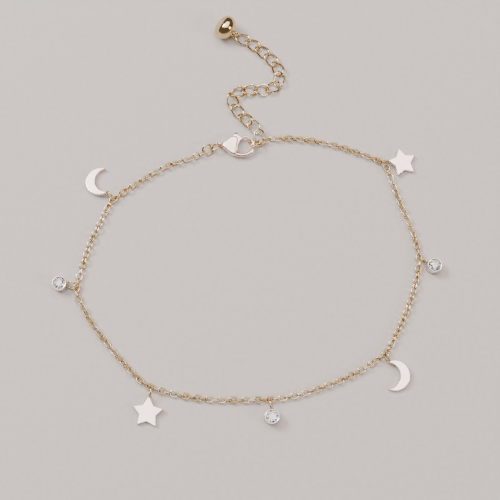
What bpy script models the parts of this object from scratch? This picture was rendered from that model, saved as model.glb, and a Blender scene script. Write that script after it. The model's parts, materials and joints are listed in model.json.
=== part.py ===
"""Fine chain anklet with star, moon and stone charms, a lobster clasp and an extension chain.

It lies flat on the floor as an open loop. Lengths are in metres, +Z is up.
"""

import math

import bmesh
import bpy
from mathutils import Matrix, Vector

# Main chain
CHAIN_WIRE = 0.00036
LINK_WIDTH = 0.00165
LINK_PITCH = 0.00138
PLAY = 0.00010
STRAND_DIAMETER = 0.0012
STRAND_STEP = 0.0030
STRAND_INSET = 0.62

# Charm rings and the room for one in its chain link
CHARM_RING = 0.0029
CHARM_RING_WIRE = 0.00040
RING_ROOM = 0.00012

# Clasp rings and end ring
CLASP_RING = 0.0030
CLASP_RING_WIRE = 0.00045
END_RING = 0.0034
END_RING_WIRE = 0.00050
END_RING_TILT = 43.7
END_RING_ROOM = 0.00010
END_RING_LIFT = 0.00010
END_RING_CHAIN_ANGLE = 9.5
END_RING_EXTENSION_ANGLE = 46.0

# Extension chain
EXTENSION_WIRE = 0.00048
EXTENSION_WIDTH = 0.0030
EXTENSION_PLAY = 0.00034
EXTENSION_TWIST = 45.0
EXTENSION_ROLLS = [24.0, -25.0, 0.0, 0.0, 15.0, -15.0, 0.0, 0.0, 0.0, 0.0, 0.0, 0.0, 0.0, 0.0, 0.0]
FLOOR_GAP = 0.00004
FIRST_LINK_RISE = 0.00042

# Star and moon plates
PLATE_THICKNESS = 0.0010
PLATE_EDGE = 0.00010
STAR_RADIUS = 0.0036
STAR_WAIST = 0.0020
MOON_RADIUS = 0.00345
MOON_BITE_RADIUS = 0.00303
MOON_BITE_OFFSET = 0.00176
MOON_RING_ANGLE = -68.0
STAR_TIP_CUT = 0.05
MOON_HORN_CUT = 0.07
CORNER_PULL = 0.28
SOLDER = 0.00012

# Stone settings
CUP_DIAMETER = 0.0034
CUP_HEIGHT = 0.0026
STONE_DIAMETER = 0.0027
STONE_CROWN = 0.00042
STONE_GIRDLE = 0.00008
STONE_PAVILION = 0.00115
STONE_ROOM = 0.00006
STONE_SUNK = 0.55
TABLE_SHARE = 0.56
KITE_SHARE = 0.80
KITE_RISE = 0.60
CUP_LIP = 0.00010

# Lobster clasp: u runs from its eye to the end of its hook, v across, w up. PIVOT is in shares of its length
CLASP_LENGTH = 0.0080
CLASP_THICKNESS = 0.0022
CLASP_EDGE = 0.00044
EYE_RADIUS = 0.00075
EYE_WIRE = 0.00050
EYE_ROOM = 0.00015
HOOK_WIRE = 0.00090
SLOT_WIDTH = 0.00092
LEVER_THICKNESS = 0.00072
LEVER_EDGE = 0.00010
PIVOT = (0.4375, -0.1125)
PIVOT_DIAMETER = 0.00056
PIVOT_ROOM = 0.00009
PIVOT_HEAD = 0.00005
GATE_WIRE = 0.00056
KNOB_DIAMETER = 0.00125
# Outlines of the clasp seen from above, in shares of its length. Hook and gate rows end with the wire's swell
BODY_OUTLINE = [
    (0.0625, -0.0625), (0.15, -0.1312), (0.2625, -0.2125), (0.3875, -0.2775), (0.4813, -0.2812),
    (0.515, -0.2062), (0.4975, -0.075), (0.5, 0.0875), (0.5062, 0.2), (0.4813, 0.2812),
    (0.4, 0.3125), (0.2938, 0.29), (0.2062, 0.2062), (0.125, 0.1187), (0.0625, 0.06),
]
HOOK_LINE = [
    (0.325, -0.15, 1.3), (0.4125, -0.2, 1.25), (0.5125, -0.225, 1.15), (0.625, -0.2375, 1.05),
    (0.7375, -0.225, 1.0), (0.8375, -0.185, 1.0), (0.925, -0.115, 1.0), (0.9812, -0.025, 1.0),
    (1.0, 0.0625, 0.9), (0.9912, 0.15, 0.72), (0.9562, 0.225, 0.64), (0.92, 0.2675, 0.6),
    (0.9137, 0.2737, 0.4),
]
SLOT_OUTLINE = [
    (0.325, -0.2188), (0.75, -0.2188), (0.75, 0.425), (0.075, 0.425), (0.175, 0.1625),
]
LEVER_OUTLINE = [
    (0.375, -0.1625), (0.4312, -0.19), (0.4938, -0.175), (0.5312, -0.1062), (0.5225, 0.025),
    (0.55, 0.15), (0.5975, 0.2687), (0.5975, 0.3188), (0.5312, 0.3438), (0.4688, 0.3875),
    (0.375, 0.3937), (0.34, 0.3275), (0.3563, 0.15), (0.36, -0.0875),
]
GATE_LINE = [
    (0.5, 0.1, 1.0), (0.54, 0.1875, 1.0), (0.5775, 0.2687, 1.0), (0.625, 0.3225, 1.0),
    (0.6875, 0.3475, 1.0), (0.75, 0.35, 1.0), (0.8125, 0.3325, 1.0), (0.8625, 0.3075, 1.0),
    (0.8712, 0.3025, 0.6),
]
KNOB_PLACE = (0.415, 0.375)

# End bead
BEAD_DIAMETER = 0.0060
BEAD_LENGTH = 0.0046
NECK_DIAMETER = 0.0017
BEAD_LOOP = 0.0020
BEAD_LOOP_WIRE = 0.00045
BEAD_FORM = [
    (0.29, 0.06), (0.55, 0.13), (0.80, 0.26), (0.95, 0.42), (1.0, 0.58), (0.97, 0.72), (0.84, 0.86),
    (0.52, 0.97),
]

# Places on the floor, chosen by hand, and the shift that puts the whole piece round the origin.
# END_RING_PLACE is in shares of the clasp's length, along and across it
LAYOUT_SHIFT = (-0.00023, -0.00065)
CLASP_PLACE = (-0.00630, 0.01754)
CLASP_TURN = -7.5
RINGS_TURN = 206.0
CLASP_RING_ROLLS = (38.0, -44.0)
END_RING_PLACE = (1.0275, 0.1875)
CHAIN_ROUTE = [
    (-0.01287, 0.01442), (-0.01597, 0.01343), (-0.01878, 0.01244), (-0.02190, 0.01077),
    (-0.02472, 0.00896), (-0.02804, 0.00663), (-0.03110, 0.00426), (-0.03228, 0.00336),
    (-0.03335, 0.00088), (-0.03496, -0.00279), (-0.03656, -0.00646), (-0.03772, -0.01022),
    (-0.03865, -0.01383), (-0.03941, -0.01765), (-0.03909, -0.01978), (-0.03764, -0.02249),
    (-0.03563, -0.02589), (-0.03276, -0.02966), (-0.02928, -0.03377), (-0.02552, -0.03772),
    (-0.02274, -0.04011), (-0.01954, -0.04140), (-0.01500, -0.04248), (-0.01037, -0.04322),
    (-0.00560, -0.04356), (-0.00033, -0.04354), (0.00520, -0.04343), (0.00983, -0.04282),
    (0.01459, -0.04151), (0.01982, -0.03970), (0.02486, -0.03741), (0.02926, -0.03473),
    (0.03192, -0.03271), (0.03365, -0.02980), (0.03577, -0.02573), (0.03764, -0.02143),
    (0.03919, -0.01693), (0.04002, -0.01311), (0.04036, -0.01058), (0.03975, -0.00670),
    (0.03829, -0.00193), (0.03670, 0.00207), (0.03507, 0.00688), (0.03379, 0.01115),
    (0.03278, 0.01300), (0.03101, 0.01397), (0.02864, 0.01488), (0.02507, 0.01626),
    (0.02125, 0.01754), (0.01658, 0.01859), (0.01213, 0.01923), (0.00815, 0.01933),
    (0.00500, 0.01900),
]
EXTENSION_ROUTE = [
    (0.00310, 0.02070), (0.00120, 0.02290), (-0.00130, 0.02520), (-0.00290, 0.02740), (-0.00420, 0.02900),
    (-0.00400, 0.03040), (-0.00180, 0.03150), (0.00130, 0.03200), (0.00450, 0.03190), (0.00710, 0.03260),
    (0.00835, 0.03510), (0.00740, 0.03840), (0.00530, 0.04090), (0.00280, 0.04310), (0.00030, 0.04490),
    (-0.00245, 0.04629),
]

# Charms: share is the place along the chain, yaw the way the ring hangs, turn that of its plate,
# lean how far the ring tips over, roll that of the chain link it hangs on, all in degrees
CHARM_COLUMNS = ("name", "kind", "share", "yaw", "turn", "lean", "roll")
CHARM_ROWS = [
    ("moon_charm_1", "moon", 0.1155, 136.0, 8.0, 8.0, 4.0),
    ("stone_setting_1", "stone", 0.2236, 172.0, 0.0, 24.0, 0.0),
    ("star_charm_1", "star", 0.3620, -96.0, 0.0, -12.0, 1.0),
    ("stone_setting_2", "stone", 0.4905, -84.0, 0.0, 6.0, 0.0),
    ("moon_charm_2", "moon", 0.6250, -79.0, 182.0, -8.0, 0.0),
    ("stone_setting_3", "stone", 0.7386, -30.0, 0.0, 14.0, 0.0),
    ("star_charm_2", "star", 0.8610, -4.0, 0.0, 18.0, 8.0),
]
CHARMS = [dict(zip(CHARM_COLUMNS, row)) for row in CHARM_ROWS]

CHAIN_HEIGHT = LINK_WIDTH / 2
CLASP_HEIGHT = CLASP_THICKNESS / 2 + PIVOT_HEAD


def clear_scene():
    for obj in list(bpy.data.objects):
        bpy.data.objects.remove(obj, do_unlink=True)


def material(name, colour, metallic, roughness):
    found = bpy.data.materials.new(name)
    found.use_nodes = True
    shader = found.node_tree.nodes["Principled BSDF"]
    shader.inputs["Base Color"].default_value = (*colour, 1.0)
    shader.inputs["Metallic"].default_value = metallic
    shader.inputs["Roughness"].default_value = roughness
    return found


def gold_wire(name):
    return material(f"{name}_gold", (0.80, 0.62, 0.40), 1.0, 0.22)


def polished_steel(name):
    return material(f"{name}_polished", (0.88, 0.80, 0.76), 1.0, 0.12)


def clear_stone(name):
    found = material(f"{name}_clear", (0.95, 0.97, 1.0), 0.0, 0.02)
    found.node_tree.nodes["Principled BSDF"].inputs["Transmission Weight"].default_value = 1.0
    return found


def add(name, mesh, finish, place=Matrix()):
    obj = bpy.data.objects.new(name, mesh)
    bpy.context.scene.collection.objects.link(obj)
    obj.matrix_world = place
    mesh.materials.clear()
    mesh.materials.append(finish)
    mesh.shade_smooth()
    mesh.set_sharp_from_angle(angle=math.radians(35))
    return obj


def evaluated_mesh(obj):
    """The object's mesh after its modifiers, with the object itself removed."""
    depsgraph = bpy.context.evaluated_depsgraph_get()
    mesh = bpy.data.meshes.new_from_object(obj.evaluated_get(depsgraph), depsgraph=depsgraph)
    mesh.transform(obj.matrix_world)
    bpy.data.objects.remove(obj, do_unlink=True)
    return mesh


def tidied(mesh):
    """Caps welded to sides, and faces turned outwards."""
    work = bmesh.new()
    work.from_mesh(mesh)
    bmesh.ops.remove_doubles(work, verts=work.verts, dist=1e-7)
    bmesh.ops.recalc_face_normals(work, faces=work.faces)
    work.to_mesh(mesh)
    work.free()
    return mesh


def wire(points, diameter, closed=False, resolution=1, swell=None):
    """A round wire through the points: a curve with a bevel, made a mesh. Swell scales it point by point."""
    curve = bpy.data.curves.new("wire", "CURVE")
    curve.dimensions = "3D"
    curve.twist_mode = "Z_UP"
    curve.bevel_depth = diameter / 2
    curve.bevel_resolution = resolution
    curve.use_fill_caps = not closed
    spline = curve.splines.new("POLY")
    spline.points.add(len(points) - 1)
    for i, point in enumerate(points):
        spline.points[i].co = (*point, 1.0)
        spline.points[i].radius = swell[i] if swell else 1.0
    spline.use_cyclic_u = closed
    obj = bpy.data.objects.new("wire", curve)
    bpy.context.scene.collection.objects.link(obj)
    mesh = evaluated_mesh(obj)
    bpy.data.curves.remove(curve)
    return tidied(mesh)


def joined(mesh, others, operation="UNION"):
    """The mesh after exact Booleans with each of the others."""
    obj = bpy.data.objects.new("body", mesh)
    bpy.context.scene.collection.objects.link(obj)
    tools = []
    for other in others:
        tool = bpy.data.objects.new("tool", other)
        bpy.context.scene.collection.objects.link(tool)
        tool.hide_render = True
        tool.display_type = "WIRE"
        tools.append(tool)
        boolean = obj.modifiers.new("join", "BOOLEAN")
        boolean.operation = operation
        boolean.solver = "EXACT"
        boolean.object = tool
    result = evaluated_mesh(obj)
    for tool in tools:
        bpy.data.objects.remove(tool, do_unlink=True)
    return result


def placed(mesh, place):
    moved = mesh.copy()
    moved.transform(place)
    return moved


def plate(outline, thickness, edge):
    """A flat plate with this outline, centred on Z = 0, its edges bevelled."""
    mesh = bpy.data.meshes.new("plate")
    work = bmesh.new()
    base = work.faces.new([work.verts.new((x, y, -thickness / 2)) for x, y in outline])
    raised = bmesh.ops.extrude_face_region(work, geom=[base])
    top = [item for item in raised["geom"] if isinstance(item, bmesh.types.BMVert)]
    bmesh.ops.translate(work, verts=top, vec=(0, 0, thickness))
    bmesh.ops.recalc_face_normals(work, faces=work.faces)
    work.to_mesh(mesh)
    work.free()
    if not edge:
        return mesh
    obj = bpy.data.objects.new("plate", mesh)
    bpy.context.scene.collection.objects.link(obj)
    bevel = obj.modifiers.new("edge", "BEVEL")
    bevel.width = edge
    bevel.segments = 1
    bevel.limit_method = "ANGLE"
    bevel.angle_limit = math.radians(60)
    return tidied(evaluated_mesh(obj))


def turned(profile, sides):
    """A closed profile of (radius, height) pairs, turned about Z. Radii of 0 are poles."""
    mesh = bpy.data.meshes.new("turned")
    work = bmesh.new()
    rings = []
    for radius, height in profile:
        if radius == 0:
            rings.append([work.verts.new((0, 0, height))] * sides)
            continue
        angles = [2 * math.pi * i / sides for i in range(sides)]
        rings.append([work.verts.new((radius * math.cos(a), radius * math.sin(a), height)) for a in angles])
    for low, high in zip(rings, rings[1:]):
        for i in range(sides):
            j = (i + 1) % sides
            corners = [low[i], low[j], high[j], high[i]]
            work.faces.new(list(dict.fromkeys(corners)))
    bmesh.ops.recalc_face_normals(work, faces=work.faces)
    work.to_mesh(mesh)
    work.free()
    return mesh


def disc(diameter, length, sides):
    profile = [(0, -length / 2), (diameter / 2, -length / 2), (diameter / 2, length / 2), (0, length / 2)]
    return turned(profile, sides)


def ring(outer, wire_diameter, sides=16):
    """A round ring in the XY plane."""
    radius = (outer - wire_diameter) / 2
    angles = [2 * math.pi * i / sides for i in range(sides)]
    return wire([(radius * math.cos(a), radius * math.sin(a), 0) for a in angles], wire_diameter, closed=True)


def oval_link(pitch, width, wire_diameter, play=PLAY, steps=4, twist=0.0):
    """A chain link long along X, flat in XY or twisted by so many degrees either way at its ends."""
    length = pitch + 2 * wire_diameter + play
    radius = (width - wire_diameter) / 2
    straight = (length - wire_diameter) / 2 - radius
    points = []
    for side in (1, -1):
        for step in range(steps + 1):
            angle = math.pi * step / steps - math.pi / 2
            x, y = side * (straight + radius * math.cos(angle)), side * radius * math.sin(angle)
            turn = math.radians(twist) * x / (straight + radius)
            points.append((x, y * math.cos(turn), y * math.sin(turn)))
    return wire(points, wire_diameter, closed=True)


def frame_between(start, end, roll):
    """Centred between two points, X along the way from one to the other, turned by roll about X."""
    along = (end - start).normalized()
    left = Vector((-along.y, along.x, 0)).normalized()
    turn = Matrix((along, left, along.cross(left))).transposed().to_4x4()
    return Matrix.Translation((start + end) / 2) @ turn @ Matrix.Rotation(math.radians(roll), 4, "X")


def smooth_path(points, steps=12):
    """Points along a smooth curve through the given ones."""
    ends = [2 * points[0] - points[1], *points, 2 * points[-1] - points[-2]]
    path = []
    for a, b, c, d in zip(ends, ends[1:], ends[2:], ends[3:]):
        for step in range(steps):
            t = step / steps
            path.append(0.5 * (2 * b + (c - a) * t + (2 * a - 5 * b + 4 * c - d) * t ** 2
                               + (3 * b - a - 3 * c + d) * t ** 3))
    path.append(points[-1])
    return path


def path_length(path):
    return sum((b - a).length for a, b in zip(path, path[1:]))


def point_at(path, distance):
    for a, b in zip(path, path[1:]):
        step = (b - a).length
        if distance <= step:
            return a.lerp(b, distance / step)
        distance -= step
    return path[-1].copy()


def cut(path, start, end, step):
    """The stretch between two distances, with a point about every step."""
    count = max(3, round((end - start) / step))
    return [point_at(path, start + (end - start) * i / count) for i in range(count + 1)]


def walk(path, stride, count):
    """Points along the path, each one stride from the last as the crow flies, and what is left at its end."""
    found = [path[0].copy()]
    index = 0
    for _ in range(count):
        here = found[-1]
        while index < len(path) - 1 and (path[index + 1] - here).length < stride:
            index += 1
        if index == len(path) - 1:
            return found, -1.0
        a, b = path[index], path[index + 1]
        low, high = 0.0, 1.0
        for _ in range(30):
            middle = (low + high) / 2
            if (a.lerp(b, middle) - here).length < stride:
                low = middle
            else:
                high = middle
        found.append(a.lerp(b, high))
    return found, (path[-1] - found[-1]).length


def equal_strides(path, count):
    """Count + 1 points from end to end of the path, equally far apart in a straight line."""
    low, high = 0.5 * path_length(path) / count, 1.02 * path_length(path) / count
    for _ in range(40):
        middle = (low + high) / 2
        if walk(path, middle, count)[1] < 0:
            high = middle
        else:
            low = middle
    return walk(path, low, count)[0]


def on_floor(point, height):
    return Vector((point[0] + LAYOUT_SHIFT[0], point[1] + LAYOUT_SHIFT[1], height))


def clasp_frame():
    turn = Matrix.Rotation(math.radians(CLASP_TURN), 4, "Z")
    return Matrix.Translation(on_floor(CLASP_PLACE, CLASP_HEIGHT)) @ turn


def end_ring_frame():
    """X along the clasp, the ring's south side up on the hook."""
    tilt = math.radians(END_RING_TILT)
    rise = (END_RING - END_RING_WIRE) / 2 * math.sin(tilt) + END_RING_WIRE / 2 + END_RING_LIFT
    along, across = (share * CLASP_LENGTH for share in END_RING_PLACE)
    lift = Matrix.Translation((along, across, rise - CLASP_HEIGHT))
    return clasp_frame() @ lift @ Matrix.Rotation(-tilt, 4, "X")


def ring_contact(angle, toward, height, play):
    """Where a link that leads toward a point at this height hooks the end ring at this angle."""
    radius, angle = (END_RING - END_RING_WIRE) / 2, math.radians(angle)
    middle = end_ring_frame() @ Vector((radius * math.cos(angle), radius * math.sin(angle), 0))
    away = on_floor(toward, height) - middle
    return middle - away.normalized() * (END_RING_WIRE / 2 + play / 2 + END_RING_ROOM)


def clasp_ring_contacts():
    """Eye to first ring, first to second ring, second ring to chain."""
    eye = clasp_frame() @ Vector((-EYE_RADIUS + EYE_WIRE / 2 + EYE_ROOM, 0, 0))
    pitch = CLASP_RING - 2 * CLASP_RING_WIRE - PLAY
    turn = math.radians(RINGS_TURN)
    step = Vector((pitch * math.cos(turn), pitch * math.sin(turn), 0))
    return [eye, eye + step, eye + 2 * step]


def chain_path():
    """The main chain's middle line, from the clasp's second ring round to the end ring."""
    start = clasp_ring_contacts()[-1]
    end = ring_contact(END_RING_CHAIN_ANGLE, CHAIN_ROUTE[-1], CHAIN_HEIGHT, PLAY)
    flat = [on_floor(point, CHAIN_HEIGHT) for point in CHAIN_ROUTE]
    return smooth_path([start, *flat, end])


def carrier_pitch():
    """Two chain wires and the charm's ring share the hole of a charm's link."""
    return 2 * CHAIN_WIRE + PLAY + CHARM_RING_WIRE + 2 * RING_ROOM


def carrier_spans(path):
    """Where each charm's link begins and ends along the path."""
    total = path_length(path)
    half = carrier_pitch() / 2
    return [(charm["share"] * total - half, charm["share"] * total + half) for charm in CHARMS]


def make_strand(name, path, start, end, first_roll, last_roll):
    """A stretch of chain as a plain round body, with a real link at each end."""
    inset = LINK_PITCH * STRAND_INSET
    body = wire(cut(path, start + inset, end - inset, STRAND_STEP), STRAND_DIAMETER, resolution=2)
    link = oval_link(LINK_PITCH, LINK_WIDTH, CHAIN_WIRE)
    first = frame_between(point_at(path, start), point_at(path, start + LINK_PITCH), first_roll)
    last = frame_between(point_at(path, end - LINK_PITCH), point_at(path, end), last_roll)
    add(name, joined(body, [placed(link, first), placed(link, last)]), gold_wire(name))


def make_main_chain():
    path = chain_path()
    spans = carrier_spans(path)
    starts = [0.0, *[span[1] for span in spans]]
    ends = [*[span[0] for span in spans], path_length(path)]
    rolls = [charm["roll"] for charm in CHARMS]
    first_rolls = [CLASP_RING_ROLLS[1] + 90.0, *[roll + 90.0 for roll in rolls]]
    last_rolls = [*[roll + 90.0 for roll in rolls], END_RING_TILT - 90.0]
    for i, (start, end) in enumerate(zip(starts, ends)):
        make_strand(f"chain_strand_{i + 1}", path, start, end, first_rolls[i], last_rolls[i])
    for i, span in enumerate(spans):
        link = oval_link(carrier_pitch(), LINK_WIDTH, CHAIN_WIRE)
        place = frame_between(point_at(path, span[0]), point_at(path, span[1]), rolls[i])
        name = f"charm_link_{i + 1}"
        add(name, link, gold_wire(name), place)


def star_outline():
    points = []
    for i in range(10):
        radius = STAR_WAIST if i % 2 else STAR_RADIUS
        angle = math.pi + math.pi * i / 5
        points.append((radius * math.cos(angle), radius * math.sin(angle)))
    return rounded(points, [0 if i % 2 else STAR_RADIUS * STAR_TIP_CUT for i in range(10)])


def rounded(points, cuts):
    """Each corner with a cut is replaced by three points round it."""
    found = []
    for i, (x, y) in enumerate(points):
        if not cuts[i]:
            found.append((x, y))
            continue
        here = Vector((x, y))
        before = (Vector(points[i - 1]) - here).normalized() * cuts[i]
        after = (Vector(points[(i + 1) % len(points)]) - here).normalized() * cuts[i]
        found += [tuple(here + before), tuple(here + (before + after) * CORNER_PULL), tuple(here + after)]
    return found


def moon_outline(outer_steps=18, inner_steps=14):
    """A crescent open along +X: an outer arc, back along the arc of the bite."""
    meet = (MOON_RADIUS ** 2 - MOON_BITE_RADIUS ** 2 + MOON_BITE_OFFSET ** 2) / (2 * MOON_BITE_OFFSET)
    horn = math.acos(meet / MOON_RADIUS)
    bite = math.acos((meet - MOON_BITE_OFFSET) / MOON_BITE_RADIUS)
    points = []
    for i in range(outer_steps + 1):
        angle = horn + (2 * math.pi - 2 * horn) * i / outer_steps
        points.append((MOON_RADIUS * math.cos(angle), MOON_RADIUS * math.sin(angle)))
    for i in range(1, inner_steps):
        angle = -bite - (2 * math.pi - 2 * bite) * i / inner_steps
        x = MOON_BITE_OFFSET + MOON_BITE_RADIUS * math.cos(angle)
        points.append((x, MOON_BITE_RADIUS * math.sin(angle)))
    cuts = [0.0] * len(points)
    cuts[0] = cuts[outer_steps] = MOON_RADIUS * MOON_HORN_CUT
    return rounded(points, cuts)


def charm_ring():
    """Upright in the XZ plane, its middle at the origin."""
    return placed(ring(CHARM_RING, CHARM_RING_WIRE), Matrix.Rotation(math.pi / 2, 4, "X"))


def ring_reach():
    return (CHARM_RING - CHARM_RING_WIRE) / 2


def star_charm():
    """Ring at the origin, the star's tip soldered to its far side."""
    shape = plate(star_outline(), PLATE_THICKNESS, PLATE_EDGE)
    offset = ring_reach() - SOLDER + STAR_RADIUS
    return placed(shape, Matrix.Translation((offset, 0, 0)))


def moon_charm(charm):
    """Ring at the origin, the outer edge beside one horn soldered to its far side."""
    shape = plate(moon_outline(), PLATE_THICKNESS, PLATE_EDGE)
    facing = math.radians(charm["turn"] - charm["yaw"])
    seat_angle = facing + math.radians(MOON_RING_ANGLE)
    inner = MOON_RADIUS - SOLDER * 2
    seat = Vector((inner * math.cos(seat_angle), inner * math.sin(seat_angle), 0))
    middle = Vector((ring_reach(), 0, 0)) - seat
    return placed(shape, Matrix.Translation(middle) @ Matrix.Rotation(facing, 4, "Z"))


def stone_seat():
    """The stone's girdle above the cup's foot."""
    return CUP_HEIGHT - STONE_CROWN * STONE_SUNK - STONE_GIRDLE


def cup():
    """An open cup with a lip over the stone's girdle and a cone below it."""
    outer = CUP_DIAMETER / 2
    girdle = STONE_DIAMETER / 2 + STONE_ROOM
    seat = stone_seat()
    foot = seat - STONE_PAVILION - 2 * STONE_ROOM
    return turned([
        (0, 0), (outer - CUP_LIP, 0), (outer, CUP_LIP), (outer, CUP_HEIGHT - CUP_LIP),
        (outer - CUP_LIP, CUP_HEIGHT), (girdle - CUP_LIP, CUP_HEIGHT),
        (girdle, seat + STONE_GIRDLE + STONE_ROOM), (girdle, seat - STONE_ROOM),
        (girdle * 0.12, foot), (0, foot),
    ], 24)


def stone_charm():
    """Ring at the origin, the cup's wall soldered to its far side at the ring's own height."""
    height = CHARM_RING / 2
    offset = ring_reach() - SOLDER / 2 + CUP_DIAMETER / 2
    return placed(cup(), Matrix.Translation((offset, 0, -height)))


def stone_mesh():
    """Brilliant cut: an eight-sided table, kites, girdle facets, a girdle and sixteen pavilion facets."""
    mesh = bpy.data.meshes.new("stone")
    work = bmesh.new()
    radius = STONE_DIAMETER / 2
    table = [2 * math.pi * i / 8 for i in range(8)]
    sides = [2 * math.pi * i / 16 for i in range(16)]
    crown = STONE_GIRDLE + STONE_CROWN

    def corner(share, angle, height):
        return work.verts.new((share * radius * math.cos(angle), share * radius * math.sin(angle), height))

    top = [corner(TABLE_SHARE, a, crown) for a in table]
    middle = [corner(KITE_SHARE, a + math.pi / 8, crown * KITE_RISE) for a in table]
    upper = [corner(1.0, a, STONE_GIRDLE) for a in sides]
    lower = [corner(1.0, a, 0) for a in sides]
    culet = work.verts.new((0, 0, -STONE_PAVILION))
    work.faces.new(top)
    for i in range(8):
        j = (i + 1) % 8
        a, b, c = upper[2 * i], upper[2 * i + 1], upper[(2 * i + 2) % 16]
        work.faces.new((top[i], middle[i], top[j]))
        work.faces.new((top[i], middle[i - 1], a))
        work.faces.new((top[i], a, middle[i]))
        work.faces.new((middle[i], a, b))
        work.faces.new((middle[i], b, c))
    for i in range(16):
        j = (i + 1) % 16
        work.faces.new((upper[i], upper[j], lower[j], lower[i]))
        work.faces.new((lower[i], lower[j], culet))
    bmesh.ops.recalc_face_normals(work, faces=work.faces)
    work.to_mesh(mesh)
    work.free()
    return mesh


def rest_angle(shape, stand):
    """How far a plate dips for its lowest edge to meet a floor this far below the ring's middle."""
    low, high = 0.0, 0.6
    for _ in range(30):
        dip = (low + high) / 2
        lowest = min(v.co.z * math.cos(dip) - v.co.x * math.sin(dip) for v in shape.vertices)
        if lowest > -stand:
            low = dip
        else:
            high = dip
    return low


def hang(charm, hole, dip, height):
    """Places a charm so that its ring passes through its link's hole and stands on the floor."""
    lean = math.radians(charm["lean"])
    turn = Matrix.Rotation(math.radians(charm["yaw"]), 4, "Z") @ Matrix.Rotation(dip, 4, "Y")
    lowered = (hole.z - height) / (ring_reach() * math.cos(lean))
    angle = math.pi - math.asin(lowered)
    through = Vector((ring_reach() * math.cos(angle), 0, ring_reach() * math.sin(angle)))
    crossing = Matrix.Rotation(math.radians(charm["yaw"]), 4, "Z") @ Matrix.Rotation(lean, 4, "X") @ through
    middle = Vector((hole.x - crossing.x, hole.y - crossing.y, height))
    return Matrix.Translation(middle) @ turn


def make_charms():
    path = chain_path()
    for charm, span in zip(CHARMS, carrier_spans(path)):
        hole = (point_at(path, span[0]) + point_at(path, span[1])) / 2
        lean = math.radians(charm["lean"])
        leaned = placed(charm_ring(), Matrix.Rotation(lean, 4, "X"))
        height = CHARM_RING / 2
        name = charm["name"]
        if charm["kind"] == "stone":
            place = hang(charm, hole, 0.0, height)
            add(name, joined(stone_charm(), [leaned]), polished_steel(name), place)
            offset = ring_reach() - SOLDER / 2 + CUP_DIAMETER / 2
            stone = name.replace("setting_", "")
            sunk = place @ Matrix.Translation((offset, 0, stone_seat() - height))
            obj = add(stone, stone_mesh(), clear_stone(stone), sunk)
            obj.data.shade_flat()
            continue
        shape = star_charm() if charm["kind"] == "star" else moon_charm(charm)
        dip = rest_angle(shape, height)
        place = hang(charm, hole, dip, height)
        upright = Matrix.Rotation(-dip, 4, "Y") @ Matrix.Rotation(lean, 4, "X")
        add(name, joined(shape, [placed(charm_ring(), upright)]), polished_steel(name), place)


def make_clasp_rings():
    contacts = clasp_ring_contacts()
    for i, roll in enumerate(CLASP_RING_ROLLS):
        name = f"clasp_ring_{i + 1}"
        place = frame_between(contacts[i], contacts[i + 1], roll)
        add(name, ring(CLASP_RING, CLASP_RING_WIRE), gold_wire(name), place)


def on_clasp(rows):
    """Rows of shares of the clasp's length as lengths, in its own frame."""
    return [(row[0] * CLASP_LENGTH, row[1] * CLASP_LENGTH) for row in rows]


def clasp_wire(rows, diameter, resolution):
    points = [(u, v, 0) for u, v in on_clasp(rows)]
    return wire(points, diameter, resolution=resolution, swell=[row[2] for row in rows])


def pivot_disc(diameter, length):
    return placed(disc(diameter, length, 12), Matrix.Translation((*on_clasp([PIVOT])[0], 0)))


def make_clasp():
    body = plate(on_clasp(BODY_OUTLINE), CLASP_THICKNESS, CLASP_EDGE)
    eye = placed(ring(2 * EYE_RADIUS + EYE_WIRE, EYE_WIRE), Matrix.Rotation(math.pi / 2, 4, "X"))
    body = joined(body, [clasp_wire(HOOK_LINE, HOOK_WIRE, 3), eye])
    body = joined(body, [plate(on_clasp(SLOT_OUTLINE), SLOT_WIDTH, 0)], "DIFFERENCE")
    body = joined(body, [pivot_disc(PIVOT_DIAMETER, CLASP_THICKNESS + 2 * PIVOT_HEAD)])
    add("clasp_body", body, polished_steel("clasp_body"), clasp_frame())


def make_lever():
    body = plate(on_clasp(LEVER_OUTLINE), LEVER_THICKNESS, LEVER_EDGE)
    knob_profile = [(0, -0.5), (0.36, -0.40), (0.5, -0.2), (0.5, 0.2), (0.36, 0.40), (0, 0.5)]
    knob = turned([(r * KNOB_DIAMETER, h * LEVER_THICKNESS) for r, h in knob_profile], 14)
    knob = placed(knob, Matrix.Translation((*on_clasp([KNOB_PLACE])[0], 0)))
    body = joined(body, [clasp_wire(GATE_LINE, GATE_WIRE, 1), knob])
    bore = pivot_disc(PIVOT_DIAMETER + 2 * PIVOT_ROOM, CLASP_THICKNESS)
    add("clasp_lever", joined(body, [bore], "DIFFERENCE"), polished_steel("clasp_lever"), clasp_frame())


def make_end_ring():
    add("end_ring", ring(END_RING, END_RING_WIRE), gold_wire("end_ring"), end_ring_frame())


def extension_link(pitch, index):
    """The first link, on the end ring, is flat; the others are twisted, so that they all lie alike."""
    twist = EXTENSION_TWIST if index else 0.0
    return oval_link(pitch, EXTENSION_WIDTH, EXTENSION_WIRE, EXTENSION_PLAY, twist=twist)


def extension_height(link, roll):
    """How high the middle of an extension link lies when its lowest side meets the floor."""
    turn = Matrix.Rotation(math.radians(roll), 3, "X")
    return FLOOR_GAP - min((turn @ v.co).z for v in link.vertices)


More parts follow.
